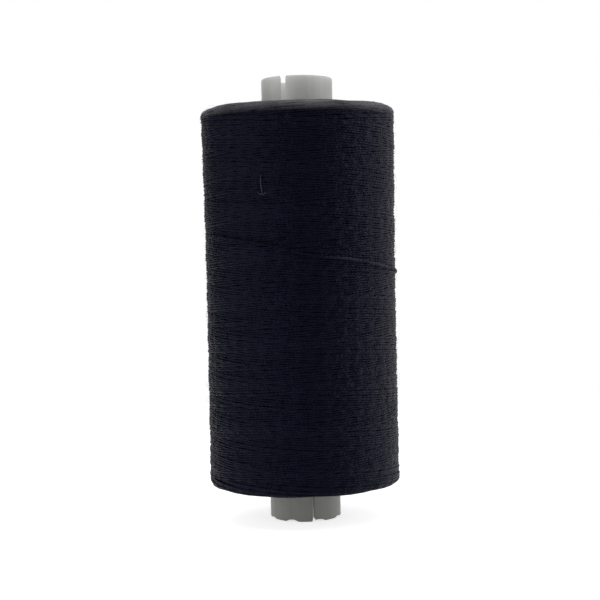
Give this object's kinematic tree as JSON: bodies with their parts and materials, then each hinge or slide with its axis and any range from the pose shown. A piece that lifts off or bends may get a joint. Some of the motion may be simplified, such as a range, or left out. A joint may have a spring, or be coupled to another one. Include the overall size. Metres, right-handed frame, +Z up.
{
  "type": "spool of thread",
  "caption": "Small grey plastic tube, lobed at the foot and slotted at the head, carrying a round-shouldered package of dark cross-wound sewing thread.",
  "frame": {"origin": "on the tube's axis, in the plane of the foot's lobes, which is what the spool stands on", "axes": "+Z up the tube to the head with the slot; -Y is the front, where the slot lies 1.75 mm to the left of the axis and the foot's slit 13 degrees to the right"},
  "size_m": [0.0262, 0.0265, 0.0582],
  "materials": {
    "tube_plastic": "moulded satin",
    "thread": "spun polyester thread, matt with a soft sheen"
  },
  "bodies": {
    "root": {"spool_tube": "tube_plastic", "thread_package": "thread", "outer_turns": "thread", "slack_turn": "thread"}
  },
  "joints": []
}
